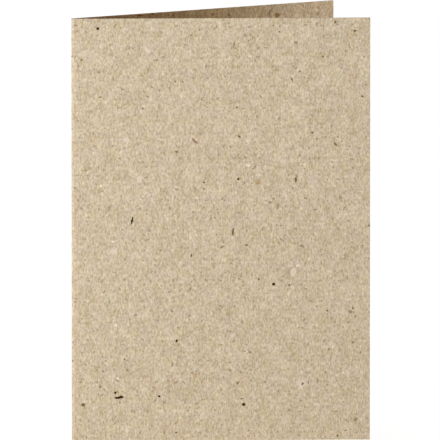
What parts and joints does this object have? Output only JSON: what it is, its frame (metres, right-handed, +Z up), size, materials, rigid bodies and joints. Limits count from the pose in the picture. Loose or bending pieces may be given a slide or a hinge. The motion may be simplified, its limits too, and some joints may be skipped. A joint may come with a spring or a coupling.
{
  "type": "greeting card",
  "caption": "Blank folded greeting card in flecked natural kraft board, standing upright and part open on its lower cut edges.",
  "frame": {"origin": "foot of the fold, on the axis that the sheet bends about, in the plane that the card stands on", "axes": "+Z up along the fold; +X along the front leaf, from the fold to its free edge; -Y out of the front leaf's outside; the back leaf swings towards +Y"},
  "size_m": [0.105, 0.0478, 0.15],
  "materials": {
    "kraft_board": null
  },
  "bodies": {
    "root": {"folded_card": "kraft_board"}
  },
  "joints": []
}
